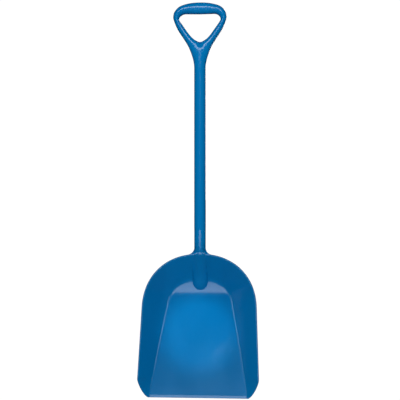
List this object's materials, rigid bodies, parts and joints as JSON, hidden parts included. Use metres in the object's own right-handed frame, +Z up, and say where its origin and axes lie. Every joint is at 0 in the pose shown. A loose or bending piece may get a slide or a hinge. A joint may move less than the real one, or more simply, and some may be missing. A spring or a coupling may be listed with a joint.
{
  "type": "feed scoop",
  "caption": "Blue plastic feed scoop with a wide arched pan, a straight hollow shaft and a D grip.",
  "frame": {"origin": "middle of the grip bar's underside, the top of the hand opening, on the shaft's axis, where a hook carries the hanging scoop", "axes": "+Z up along the shaft to the grip, -Y to the side the hollow of the pan faces, X across the pan"},
  "size_m": [0.328, 0.1467, 1.0972],
  "materials": {
    "scoop_plastic": "semi-gloss moulded polypropylene, blue, lightly scuffed",
    "spigot_plastic": "plain moulded polypropylene, blue"
  },
  "bodies": {
    "root": {"grip_front": "scoop_plastic", "grip_back": "scoop_plastic", "grip_spigot": "spigot_plastic", "shaft": "scoop_plastic", "blade_spigot": "spigot_plastic", "blade": "scoop_plastic"}
  },
  "joints": []
}
